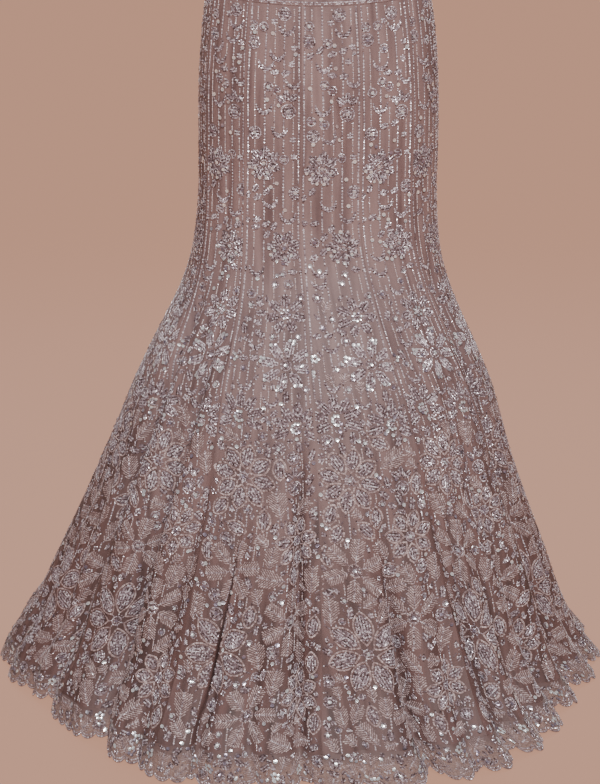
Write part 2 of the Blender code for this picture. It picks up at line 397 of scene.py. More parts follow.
class Panel:
    """One piece of cloth as a grid of points, with its flat measure: mm across each row, and mm
    down its middle line. shares are its columns, from 0 at the first seam to 1 at the last, by
    length along the cloth, so that nothing laid out flat is stretched in the folds. proud is how
    far all of it stands out, and ridge how far the line along each seam does, which is gone at
    4.8 mm from the seam."""

    def __init__(self, first, last, shares, drops, proud=0.0, ridge=0.0, scallops=0):
        self.shares, self.drops = np.asarray(shares, float), np.asarray(drops, float)
        fine = np.linspace(first, last, MEASURE_STEPS)
        edges = cloth_point(fine, self.drops[:, None])
        run = np.cumsum(np.linalg.norm(np.diff(edges, axis=1), axis=-1), axis=1)
        run = np.hstack([np.zeros((len(run), 1)), run])
        width = run[:, -1]
        angle = np.stack([np.interp(self.shares * row[-1], row, fine) for row in run])
        drop = np.broadcast_to(self.drops[:, None], angle.shape)
        self.angle = angle
        self.out = cloth_out(angle, drop)
        from_seam = np.minimum(self.shares, 1 - self.shares) * width[:, None]
        self.points = cloth_point(angle, drop)
        if scallops:
            self.points = self.cut_scallops(scallops)
        lifted = proud + ridge * ease(1.6 - from_seam / 3.0)
        self.points = self.points + self.out * lifted[..., None]
        self.width = width
        middle = cloth_point((first + last) / 2, self.drops)
        steps = np.linalg.norm(np.diff(middle, axis=0), axis=-1)
        self.along = np.concatenate([[0.0], np.cumsum(steps)])

    def cut_scallops(self, count):
        """Draws the lower edge up between the scallops, which are a power of a half sine deep, and
        every row above it by its share of the way down."""
        tongue = np.abs(np.sin(math.pi * count * self.shares)) ** SCALLOP_ROUNDNESS
        up = unit(self.points[0] - self.points[-1])
        down = (self.drops - self.drops[0]) / (self.drops[-1] - self.drops[0])
        raised = SCALLOP_DEPTH * (1 - tongue) * down[:, None]
        return self.points + up * raised[..., None]

    def row_at(self, drop):
        """How far down the middle line a drop lies."""
        return float(np.interp(drop, self.drops, self.along))

    def width_at(self, along):
        """How wide the flat panel is, so far down its middle line."""
        return np.interp(along, self.along, self.width)

    def at(self, across, along, rise):
        """Points on the panel, across from its middle and along down it, and rise out from it: the
        grid's points and normals, mixed between the four nearest."""
        row = np.interp(along, self.along, np.arange(len(self.along)))
        share = 0.5 + across / self.width_at(along)
        column = np.interp(share, self.shares, np.arange(len(self.shares)))
        i = np.minimum(row.astype(int), len(self.along) - 2)
        j = np.minimum(column.astype(int), len(self.shares) - 2)
        down, right = (row - i)[..., None], (column - j)[..., None]
        both = np.concatenate([self.points, self.out], axis=-1)
        top = both[i, j] * (1 - right) + both[i, j + 1] * right
        foot = both[i + 1, j] * (1 - right) + both[i + 1, j + 1] * right
        mixed = top * (1 - down) + foot * down
        return mixed[..., :3] + mixed[..., 3:] * rise[..., None]

    def faces(self):
        """The grid's faces, each turned so that it looks out."""
        rows, columns = self.points.shape[:2]
        number = np.arange(rows * columns).reshape(rows, columns)
        corners = (number[:-1, :-1], number[1:, :-1], number[1:, 1:], number[:-1, 1:])
        return np.stack(corners, axis=-1).reshape(-1, 4)

    def flat_map(self, number):
        """Each point's place on the flat cloth, in metres across and down. The panels are cut side
        by side from one long piece."""
        across = (self.shares - 0.5) * self.width[:, None] + number * CUT_WIDTH
        return np.stack([across, np.broadcast_to(self.along[:, None], across.shape)], axis=-1) * MM


def make_mesh(name, points, faces, materials, which=None):
    """A mesh object at the origin, from points in mm and face arrays of any widths."""
    mesh = bpy.data.meshes.new(name)
    corners = np.concatenate([face.ravel() for face in faces]).astype(np.int32)
    sizes = np.concatenate([np.full(len(face), face.shape[1]) for face in faces])
    starts = np.concatenate([[0], np.cumsum(sizes)[:-1]]).astype(np.int32)
    mesh.vertices.add(len(points))
    mesh.vertices.foreach_set("co", (points * MM).astype(np.float32).ravel())
    mesh.loops.add(len(corners))
    mesh.loops.foreach_set("vertex_index", corners)
    mesh.polygons.add(len(sizes))
    mesh.polygons.foreach_set("loop_start", starts)
    for material in materials:
        mesh.materials.append(material)
    if which is not None:
        mesh.polygons.foreach_set("material_index", np.concatenate(which).astype(np.int32))
    mesh.update(calc_edges=True)
    mesh.validate()
    mesh.shade_smooth()
    obj = bpy.data.objects.new(name, mesh)
    bpy.context.scene.collection.objects.link(obj)
    return obj


def add_map(obj, name, places):
    """A UV map that gives each vertex one place."""
    corner = np.empty(len(obj.data.loops), np.int32)
    obj.data.loops.foreach_get("vertex_index", corner)
    layer = obj.data.uv_layers.new(name=name)
    layer.data.foreach_set("uv", places[corner].astype(np.float32).ravel())


class Wire:
    """A socket that takes part in sums: each operation adds the Math node that does it."""

    def __init__(self, paint, socket):
        self.paint, self.socket = paint, socket

    def _math(self, operation, first, second):
        """The wire out of a new Math node."""
        return self.paint.add("ShaderNodeMath", {"operation": operation}, {0: first, 1: second})

    def __add__(self, other):
        return self._math("ADD", self, other)

    def __sub__(self, other):
        return self._math("SUBTRACT", self, other)

    def __rsub__(self, other):
        return self._math("SUBTRACT", other, self)

    def __mul__(self, other):
        return self._math("MULTIPLY", self, other)

    __radd__ = __add__
    __rmul__ = __mul__


class Paint:
    """A material being built: a Principled shader and the nodes that feed it."""

    def __init__(self, name, **constants):
        self.material = bpy.data.materials.new(name)
        self.material.use_nodes = True
        self.tree = self.material.node_tree
        self.shader = self.tree.nodes["Principled BSDF"]
        for socket, value in constants.items():
            self.shader.inputs[socket.replace("_", " ")].default_value = value

    def join(self, socket, value):
        """Links a wire to the socket, or sets the socket to a plain value."""
        if isinstance(value, Wire):
            self.tree.links.new(value.socket, socket)
        else:
            socket.default_value = value

    def add(self, kind, settings, values, output=0):
        """Adds a node of that kind, sets it up, fills or links its sockets and gives an output."""
        node = self.tree.nodes.new(kind)
        for name, value in settings.items():
            if name == "stops":
                ramp = node.color_ramp.elements
                while len(ramp) < len(value):
                    ramp.new(0.5)
                for stop, (place, colour) in zip(ramp, value):
                    stop.position, stop.color = place, (*colour, 1.0)
            else:
                setattr(node, name, value)
        for name, value in values.items():
            self.join(node.inputs[name], value)
        return Wire(self, node.outputs[output])

    def noise(self, place, scale, detail=2.0):
        """A soft cloudiness, 0 to 1, with so many clouds to a unit of the place."""
        values = {"Vector": place, "Scale": scale, "Detail": detail}
        return self.add("ShaderNodeTexNoise", {}, values)

    def ramp(self, factor, stops):
        """The colour that a factor has between the stops, each a place and a colour."""
        return self.add("ShaderNodeValToRGB", {"stops": stops}, {0: factor})

    def mix(self, factor, first, second):
        """Two colours mixed. Sockets 6 and 7 of a Mix node take colours, and output 2 gives one."""
        values = {0: factor, 6: first, 7: second}
        return self.add("ShaderNodeMix", {"data_type": "RGBA"}, values, output=2)

    def stretched(self, place, scale):
        """A place multiplied along each axis, which draws a pattern out or in."""
        return self.add("ShaderNodeVectorMath", {"operation": "MULTIPLY"}, {0: place, 1: scale})

    def feed(self, **values):
        """Links or sets the Principled shader's sockets. An underscore stands for a space."""
        for socket, value in values.items():
            self.join(self.shader.inputs[socket.replace("_", " ")], value)

    def bump(self, height, strength, distance):
        """Fine relief: the normal of a surface raised by the height, its distance in metres."""
        values = {"Height": height, "Strength": strength, "Distance": distance}
        return self.add("ShaderNodeBump", {}, values)


def opaque(colour):
    """A colour with the alpha that a colour socket takes."""
    return (*colour, 1.0)


def net_height(paint, flat, holes_per_metre):
    """A net of small cells: high on the threads, which follow the edges of a Voronoi pattern."""
    settings = {"feature": "DISTANCE_TO_EDGE", "voronoi_dimensions": "2D"}
    values = {"Vector": flat, "Scale": holes_per_metre, "Randomness": 0.25}
    edge = paint.add("ShaderNodeTexVoronoi", settings, values)
    return paint.add(
        "ShaderNodeMapRange", {"interpolation_type": "SMOOTHSTEP"},
        {"Value": edge, "From Min": 0.06, "From Max": 0.20, "To Min": 1.0, "To Max": 0.0},
    )


def paint_ground(name, cloth):
    """Net over a lining: long soft bands of painted shade stand for folds in the lining under the
    net, over a random drift of the lining's tone, and the colour is darker towards the hem. The
    net's threads lie over it, a little lighter."""
    paint = Paint(name, Metallic=0.0, Sheen_Weight=0.06, Sheen_Roughness=0.45)
    paint.shader.inputs["Sheen Tint"].default_value = opaque(cloth.sheen)
    flat = paint.add("ShaderNodeUVMap", {"uv_map": FLAT_MAP}, {})
    place = paint.add("ShaderNodeTexCoord", {}, {}, output="Object")
    # Painted shade: long soft bands that stand for folds in the lining under the net.
    painted_fold_shade = paint.noise(paint.stretched(flat, (62.0, 5.0, 1.0)), 1.0, 2.0)
    mottle = paint.noise(place, 12.0, 4.0)
    # drift is mostly painted fold shade and partly the lining's own random tone.
    drift = painted_fold_shade * 0.8 + mottle * 0.2
    height = paint.add("ShaderNodeSeparateXYZ", {}, {0: place}, output=2)
    down = paint.add(
        "ShaderNodeMapRange", {"interpolation_type": "SMOOTHSTEP"},
        {"Value": height, "From Min": -0.40, "From Max": -0.86},
    )
    upper = paint.ramp(drift, [(0.34, cloth.upper_dark), (0.60, cloth.upper_light)])
    lower = paint.ramp(drift, [(0.34, cloth.lower_dark), (0.60, cloth.lower_light)])
    lining = paint.mix(down, upper, lower)
    thread = paint.mix(down, opaque(cloth.upper_thread), opaque(cloth.lower_thread))
    threads = net_height(paint, flat, 620.0)
    weave = paint.noise(flat, 2400.0, 1.0)
    paint.feed(
        Base_Color=paint.mix(threads * 0.3, lining, thread),
        Roughness=0.5 + 0.16 * weave,
        Normal=paint.bump(threads * 0.7 + weave * 0.3, 0.45, 0.0004),
    )
    return paint.material


def paint_lining(name, cloth):
    """The inner face: plain satin weave with fine ribs and a soft drift of tone."""
    paint = Paint(name, Metallic=0.0, Sheen_Weight=0.2)
    flat = paint.add("ShaderNodeUVMap", {"uv_map": FLAT_MAP}, {})
    settings = {"wave_type": "BANDS", "bands_direction": "DIAGONAL"}
    ribs = paint.add("ShaderNodeTexWave", settings, {"Vector": flat, "Scale": 380.0}, output=1)
    drift = paint.noise(flat, 12.0, 3.0)
    paint.feed(
        Base_Color=paint.ramp(drift, [(0.3, cloth.lining_dark), (0.7, cloth.lining_light)]),
        Roughness=0.42 + 0.1 * ribs,
        Normal=paint.bump(ribs, 0.3, 0.0002),
    )
    return paint.material


def paint_net(name, cloth):
    """The unlined net of the border: threads with open holes between them, closed up here and
    there where it is embroidered."""
    paint = Paint(name, Metallic=0.0, Sheen_Weight=0.3)
    flat = paint.add("ShaderNodeUVMap", {"uv_map": FLAT_MAP}, {})
    threads = net_height(paint, flat, 420.0)
    down = paint.add("ShaderNodeSeparateXYZ", {}, {0: flat}, output=1)
    values = {"Value": down, "From Min": 0.022, "From Max": 0.002}
    worked = paint.add("ShaderNodeMapRange", {}, values)
    cover = paint.add("ShaderNodeMath", {"operation": "MAXIMUM"}, {0: threads, 1: worked})
    tone = paint.noise(flat, 300.0, 2.0)
    net = paint.ramp(tone, [(0.3, cloth.border_dark), (0.7, cloth.border_light)])
    paint.feed(
        Base_Color=paint.mix(worked, net, opaque(cloth.border_worked)),
        Roughness=0.55 + 0.1 * tone,
        Alpha=0.4 + 0.6 * cover,
        Normal=paint.bump(cover, 0.5, 0.0004),
    )
    return paint.material


def paint_beads(name, stops, metallic, rough):
    """Glass beads or foil: each bead's own tone picks its colour, with a cloudiness finer than a
    bead, and the bright ones are the smoother. The brightest tone is partly a painted glint, set on
    some beads and sequins."""
    paint = Paint(name, Metallic=metallic, IOR=1.5)
    place = paint.add("ShaderNodeTexCoord", {}, {}, output="Object")
    tone = paint.add("ShaderNodeAttribute", {"attribute_name": "tone"}, {}, output="Fac")
    cloud = paint.noise(place, 900.0, 1.0)
    shade = tone + 0.24 * cloud - 0.12
    paint.feed(
        Base_Color=paint.ramp(shade, stops),
        Roughness=rough * (1.25 - 0.5 * tone) + 0.1 * cloud,
    )
    return paint.material


# Beadwork, as rows of numbers. A bead lies at x across and y down, turned by angle, and is long and
# wide by its half sizes. rise is its height, tilt is how much higher one rim of a sequin is, and
# kind says what it is.
X, Y, ANGLE, LONG, WIDE, RISE, TILT, TONE, KIND = range(9)
SEED, BUGLE, SEQUIN, ROSE = range(4)
PITCH = 2.2
BUGLE_PITCH = 3.9
SEED_HALF = 1.15
SEED_RISE = 1.2
LEAF_ROUNDNESS = 0.72
ROW_CONTRAST = 0.16
TONE_SPREAD = 0.22
LINE_SPREAD = 0.16
OUT_OF_PLACE = 0.12
LONG_BEAD_CALM = 0.65
# Share of seed beads and bugles given the brightest tone: painted glints
PAINTED_GLINT_SHARE = 0.08
SHARE_JITTER = 0.012
DROP_JITTER = 2.2
TURN_JITTER = 0.08
LOWEST_RIM = 0.15
KALI_SEED = 100
BORDER_SEED = 300
BAND_SEED = 500
BAND_ROSETTES = 16
FERN_TONE = 0.62
FERN_GAP = 3.6
FERN_PITCH = 4.2
FERN_SLANT = 0.85    # radians from the rib
UP = -math.pi / 2


def beads(x, y, angle=0.0, long=SEED_HALF, wide=SEED_HALF, rise=SEED_RISE, tilt=0.0, tone=0.5,
          kind=SEED):
    """A table of beads, a row for each. Any value may be one number or one for each bead."""
    x = np.atleast_1d(np.asarray(x, float))
    table = np.empty((len(x), 9))
    for column, value in enumerate((x, y, angle, long, wide, rise, tilt, tone, kind)):
        table[:, column] = value
    return table


def sequin(x=0.0, y=0.0, radius=2.5, tone=0.7):
    """A shallow cup of foil, sewn down with a seed bead at its middle. A tone near 1 makes the
    foil white, partly a painted highlight besides the cup's real reflection.
    """
    disc = beads(x, y, 0.0, radius, radius, 1.7, 0.5, tone, SEQUIN)
    knot = beads(x, y, 0.6, 0.6, 0.6, 2.2, 0.0, 0.3, SEED)
    return np.vstack([disc, knot])


def moved(table, x=0.0, y=0.0, turn=0.0, size=1.0):
    """The beads turned and spread about the middle, then shifted. The beads keep their own size."""
    result = table.copy()
    c, s = math.cos(turn) * size, math.sin(turn) * size
    result[:, X] = x + c * table[:, X] - s * table[:, Y]
    result[:, Y] = y + s * table[:, X] + c * table[:, Y]
    result[:, ANGLE] += turn
    return result


def strung(line, pitch=PITCH, **finish):
    """Beads evenly along a line of points, turned to follow it."""
    steps = np.linalg.norm(np.diff(line, axis=0), axis=1)
    run = np.concatenate([[0.0], np.cumsum(steps)])
    count = max(2, int(round(run[-1] / pitch)) + 1)
    at = np.linspace(0.0, run[-1], count)
    x, y = np.interp(at, run, line[:, 0]), np.interp(at, run, line[:, 1])
    angle = np.arctan2(np.gradient(y), np.gradient(x))
    return beads(x, y, angle, **finish)


def filled(covers, reach, tone=0.45, pitch=PITCH):
    """Staggered rows of beads over the part of a square that a shape covers. Every other row is
    lighter, as rows of beads catch the light in turn."""
    count = int(reach / pitch / 0.8) + 1
    row, column = np.meshgrid(np.arange(-count, count + 1), np.arange(-count, count + 1))
    x = (column + (row % 2) / 2) * pitch
    y = row * pitch * 0.87
    inside = covers(x, y)
    tone = tone + ROW_CONTRAST * np.where(row[inside] % 2, 1.0, -1.0)
    return beads(x[inside], y[inside], 0.4, tone=tone)


def ring(radius, pitch=PITCH, tone=0.5, kind=SEED):
    """Beads evenly round a circle, each turned to face out."""
    count = max(3, int(round(math.tau * radius / pitch)))
    angle = np.arange(count) * math.tau / count
    x, y = radius * np.cos(angle), radius * np.sin(angle)
    return beads(x, y, angle, tone=tone, kind=kind)


def leaf_half(t, width, belly):
    """A leaf's half width at the share t of its length: a power of a half sine of a power of t. A
    belly over 1 puts the widest place nearer the tip."""
    return width / 2 * np.sin(math.pi * np.clip(t, 0.0, 1.0) ** belly) ** LEAF_ROUNDNESS


def leaf_rim(length, width, belly, tone):
    """One row of rose beads round a leaf that grows along +x from the middle."""
    t = np.linspace(0.0, 1.0, 60)
    half = leaf_half(t, width, belly)
    there = np.stack([t * length, half], axis=1)
    back = np.stack([t * length, -half], axis=1)[::-1]
    outline = np.vstack([there, back[1:]])
    return strung(outline, PITCH, long=1.3, wide=1.5, tone=tone, kind=ROSE)


def leaf(length, width, belly=1.0, inset=0.3, tone=0.45, pitch=PITCH):
    """A leaf along +x, filled with beads up to the inset from its edge."""

    def covers(x, y):
        return (x > 0) & (np.abs(y) + inset < leaf_half(x / length, width, belly))

    return filled(covers, length, tone, pitch)


def fern(length, width):
    """A leaf worked in herringbone: a rib, and slanting rows of beads from it to the leaf's edge.
    The rows start along the rib one gap apart."""
    rib = strung(np.array([[0.0, 0.0], [length * 0.94, 0.0]]), 2.6, tone=FERN_TONE)
    t = np.arange(0.04, 0.90, FERN_GAP / length)
    run = 2.6 + FERN_PITCH * np.arange(int(width / FERN_PITCH) + 1)
    t, run = np.meshgrid(t, run)
    end = np.maximum(leaf_half(t + 0.06, width, 0.8) - 0.4, 1.0) / math.sin(FERN_SLANT)
    t, run = t[run < end + 0.8], run[run < end + 0.8]
    x, y = t * length + run * math.cos(FERN_SLANT), run * math.sin(FERN_SLANT)
    finish = {"long": 2.3, "wide": 1.15, "tone": FERN_TONE, "kind": ROSE}
    rows = [beads(x, side * y, side * FERN_SLANT, **finish) for side in (-1, 1)]
    return np.vstack([rib, *rows])


def upright(shape, length):
    """A shape that grows along +x, turned to stand with its middle at the origin."""
    return moved(shape, 0, length / 2, UP)


def petals(make, count, out, start=UP, spread=math.tau):
    """Copies of a leaf round a middle, out from it and evenly through the spread."""
    whole = spread >= math.tau - 1e-6
    angles = start + np.arange(count) * spread / (count if whole else max(count - 1, 1))
    return np.vstack([moved(make, out * math.cos(a), out * math.sin(a), a) for a in angles])


def ball(radius, tone=0.48):
    """A round patch of beads."""
    return filled(lambda x, y: np.hypot(x, y) < radius, radius, tone)


def rosette(radius, tone=0.46):
    """A sequin in a round patch of beads."""
    return np.vstack([sequin(), ball(radius - 1.8, tone), ring(radius, 2.2, tone + 0.1)])


def ringed_sequin():
    """A bright sequin in a ring of seed beads."""
    return np.vstack([sequin(0, 0, 2.7, 0.9), ring(4.3, 2.5, 0.6)])


def at_angles(make, radius, angles):
    """Copies of a shape on a circle, at the angles given, not turned."""
    return np.vstack([moved(make, radius * math.cos(a), radius * math.sin(a)) for a in angles])


def sprout():
    """A bowl of two joined leaves: what one circle covers and a higher one doesn't."""

    def covers(x, y):
        notch = (np.abs(x) < 1.0) & (y < 4.5)
        return (np.hypot(x, y + 2.0) < 11.2) & (np.hypot(x, y + 7.5) > 10.2) & ~notch

    return filled(covers, 13.0, 0.48, 1.95)


def leaf_pair():
    """Two small leaves that spring from one point to either side."""
    one = leaf(15.0, 8.6, 1.0, 0.2, 0.48, 1.95)
    return np.vstack([moved(one, 0.8, 1.0, -0.7), moved(one, -0.8, -1.0, math.pi - 0.5)])


def tulip():
    """Three leaves over a round patch."""
    top = petals(leaf(16.5, 11, 1.1), 3, 2.0, UP - 0.95, 1.9)
    return np.vstack([moved(rosette(9.6), 0, 11.0), moved(sequin(), -9, -2), moved(top, 0, -1)])


def cluster():
    """A small flower of seven plump petals, filled with beads, with sequins among them."""
    petal = leaf(20, 14, 1.15, tone=0.42)
    eyes = at_angles(sequin(tone=0.9), 14.0, (0.4, 1.1, 2.5, 4.3))
    bright = at_angles(sequin(tone=1.0), 21.5, (1.3, 1.75, 2.3, 2.75))
    return np.vstack([ringed_sequin(), bright, eyes, petals(petal, 7, 4.6)])


def spray():
    """Seven leafy tufts round a ring of sequins."""
    around = at_angles(sequin(radius=2.0, tone=0.85), 6.2, np.arange(7) * math.tau / 7)
    return np.vstack([around, ball(4), petals(leaf(22, 14, 0.85), 7, 9.0)])


def sequin_flower():
    """Eight filled petals with sequins along their tips."""
    petal = leaf(31, 15.5, 1.05, 0.3, 0.6)
    bright = np.vstack([sequin(27, -1, 2.6, 1.0), sequin(23, 4.4, 2.5, 1.0)])
    more = np.vstack([bright, sequin(27.5, 4.6, 2.5, 1.0), sequin(14, -3, 2.4, 0.9)])
    return np.vstack(
        [
            rosette(7.0),
            petals(more, 4, 9.0, UP + 0.2),
            petals(bright, 4, 9.0, UP + 0.2 + math.tau / 8),
            petals(petal, 8, 9.0, UP + 0.2),
        ]
    )


def leaf_fan():
    """A half round of tufts over a ring of bright sequins."""
    around = at_angles(sequin(radius=2.3, tone=1.0), 6.6, np.arange(2, 9) * math.tau / 9 - 0.5)
    fans = petals(leaf(27, 15, 0.95), 7, 10.0, UP - 1.95, 3.9)
    return np.vstack([around, ball(4.4), sequin(1, 15, 2.8, 0.9), fans])


def daisy(length=34, width=22.0, count=8, out=11.0, start=UP):
    """Petals with a rim of rose beads, a bare line inside it and a filled middle, round a ball."""
    rim = leaf_rim(length, width, 1.1, 0.6)
    inside = moved(leaf(length - 6.0, width - 4.6, 1.05, 0.0, 0.5), 3.3)
    stem = beads([-2.8, -5.4], 0.0, tone=0.6)
    petal = np.vstack([rim, inside, stem])
    return np.vstack([rosette(6.2), petals(petal, count, out, start)])


def fern_star():
    """Six ferns round a rosette with a rim of rose beads."""
    rim = ring(9.0, 2.6, 0.66, ROSE)
    return np.vstack([rosette(7.0), rim, petals(fern(35, 22), 6, 10.8)])


def oval(length=30, width=19):
    """An upright oval: a rim and a filled middle."""
    inside = moved(leaf(length - 6.0, width - 4.6, 0.95, 0.0, 0.5), 3.3)
    return upright(np.vstack([leaf_rim(length, width, 0.95, 0.6), inside]), length)


def bright_spot():
    """Five sequins in a small flower."""
    return at_angles(sequin(tone=1.0), 4.2, np.arange(5) * math.tau / 5)


MOTIFS = {
    "rosette": rosette(8.6),
    "small_rosette": rosette(6.0),
    "ball": ball(4.4, 0.65),
    "ringed_sequin": ringed_sequin(),
    "sequin": sequin(0, 0, 2.9, 0.8),
    # The bright sequins and spots take tone 1: white foil that is partly a painted highlight.
    "bright_sequin": sequin(0, 0, 3.0, 1.0),
    "bright_spot": bright_spot(),
    "sprout": sprout(),
    "leaf_pair": leaf_pair(),
    "tulip": tulip(),
    "cluster": cluster(),
    "spray": spray(),
    "tuft_flower": petals(leaf(17, 10.5, 0.9), 6, 4.0),
    "sequin_flower": sequin_flower(),
    "leaf_fan": leaf_fan(),
    "daisy": daisy(),
    "large_daisy": daisy(46, 27, 7, 12.5, UP + 0.3),
    "small_daisy": daisy(26, 17.5, 7, 9.5),
    "fern_star": fern_star(),
    "oval": oval(),
    "leaf_tuft": upright(leaf(19, 11.5, 0.9), 19),
    "small_tuft": upright(leaf(12, 7.5, 0.9), 12),
    "dot_row": beads([0, 0, 0], [-2.4, 0, 2.4], tone=[0.5, 0.75, 0.5]),
    "tiny_fern": upright(fern(18, 13), 18),
    "small_fern": upright(fern(25, 17), 25),
    "fern": upright(fern(33, 22), 33),
    "long_fern": upright(fern(41, 26), 41),
}

# The layout of one kali: each motif's share of the way across it, its drop, and its turn.
Place = namedtuple("Place", "motif share drop turn")
LAYOUT = [
    Place("daisy", 0.31, 657, 0.2),
    Place("large_daisy", 0.26, 875, -0.2),
    Place("sequin_flower", 0.71, 514, 0.0),
    Place("leaf_fan", 0.23, 583, 0.0),
    Place("leaf_fan", 0.81, 592, 0.1),
    Place("small_daisy", 0.78, 735, 0.3),
    Place("fern_star", 0.27, 772, 0.3),
    Place("fern_star", 0.73, 836, 0.0),
    Place("small_daisy", 0.84, 924, 0.1),
    Place("fern_star", 0.52, 948, 0.5),
    Place("cluster", 0.33, 254, 0.1),
    Place("cluster", 0.69, 367, 0.3),
    Place("spray", 0.69, 455, 0.0),
    Place("tulip", 0.76, 168, 0.0),
    Place("tulip", 0.79, 662, 0.0),
    Place("rosette", 0.66, 26, 0.0),
    Place("ball", 0.50, 34, 0.0),
    Place("sprout", 0.72, 47, 0.0),
    Place("small_rosette", 0.11, 45, 0.0),
    Place("rosette", 0.12, 66, 0.0),
    Place("bright_sequin", 0.04, 77, 0.0),
    Place("ball", 0.86, 74, 0.0),
    Place("bright_sequin", 0.89, 83, 0.0),
    Place("ball", 0.82, 96, 0.0),
    Place("sprout", 0.36, 102, 0.0),
    Place("leaf_pair", 0.61, 118, 0.5),
    Place("sprout", 0.87, 130, 0.0),
    Place("small_rosette", 0.38, 132, 0.0),
    Place("small_rosette", 0.53, 141, 0.0),
    Place("bright_sequin", 0.47, 149, 0.0),
    Place("sprout", 0.36, 170, 0.0),
    Place("rosette", 0.18, 209, 0.0),
    Place("bright_sequin", 0.18, 220, 0.0),
    Place("ball", 0.82, 210, 0.0),
    Place("small_rosette", 0.68, 238, 0.0),
    Place("ball", 0.88, 238, 0.0),
    Place("leaf_pair", 0.13, 292, -0.3),
    Place("sprout", 0.46, 303, 0.0),
    Place("rosette", 0.90, 288, 0.0),
    Place("bright_sequin", 0.97, 297, 0.0),
    Place("leaf_pair", 0.14, 329, 0.3),
    Place("sprout", 0.78, 322, 0.0),
    Place("leaf_pair", 0.46, 343, -0.4),
    Place("sprout", 0.23, 400, 0.0),
    Place("leaf_pair", 0.92, 398, 0.4),
    Place("ringed_sequin", 0.66, 399, 0.0),
    Place("bright_sequin", 0.58, 404, 0.0),
    Place("ringed_sequin", 0.55, 414, 0.0),
    Place("small_rosette", 0.17, 430, 0.0),
    Place("small_rosette", 0.92, 430, 0.0),
    Place("sprout", 0.30, 490, 0.0),
    Place("bright_spot", 0.06, 508, 0.0),
    Place("sprout", 0.24, 541, 0.0),
    Place("sprout", 0.55, 560, 0.0),
    Place("ringed_sequin", 0.40, 516, 0.0),
    Place("ringed_sequin", 0.93, 545, 0.0),
    Place("oval", 0.06, 752, 0.0),
    Place("oval", 0.52, 706, 0.0),
    Place("rosette", 0.02, 905, 0.0),
    Place("rosette", 0.98, 700, 0.0),
    Place("long_fern", 0.05, 820, 0.1),
    Place("long_fern", 0.94, 780, -0.1),
]

# The lines of beads that run down a kali: the share across, and where each starts.
Line = namedtuple("Line", "share start dotted")
LINES = [
    Line(0.17, 14, False),
    Line(0.35, 14, True),
    Line(0.52, 14, False),
    Line(0.69, 14, True),
    Line(0.86, 14, False),
    Line(0.26, 420, True),
    Line(0.44, 440, False),
    Line(0.61, 430, True),
    Line(0.78, 425, False),
    Line(0.09, 520, True),
    Line(0.93, 540, True),
]
SEAM_LINE = 3.7      # mm from the seam to the row of beads beside it
LARGE = ["long_fern", "fern", "oval", "long_fern", "leaf_fan"]
MIDDLING = ["fern", "small_fern", "leaf_tuft", "small_fern", "rosette"]
SMALL = ["leaf_tuft", "small_rosette", "leaf_pair", "tiny_fern", "ringed_sequin", "small_tuft"]
LITTLE = ["small_tuft", "ball", "ringed_sequin", "small_tuft"]
DOTS = ["dot_row", "sequin", "dot_row", "bright_sequin"]
HIP = ["sprout", "small_rosette", "bright_sequin", "leaf_pair", "sprout"]


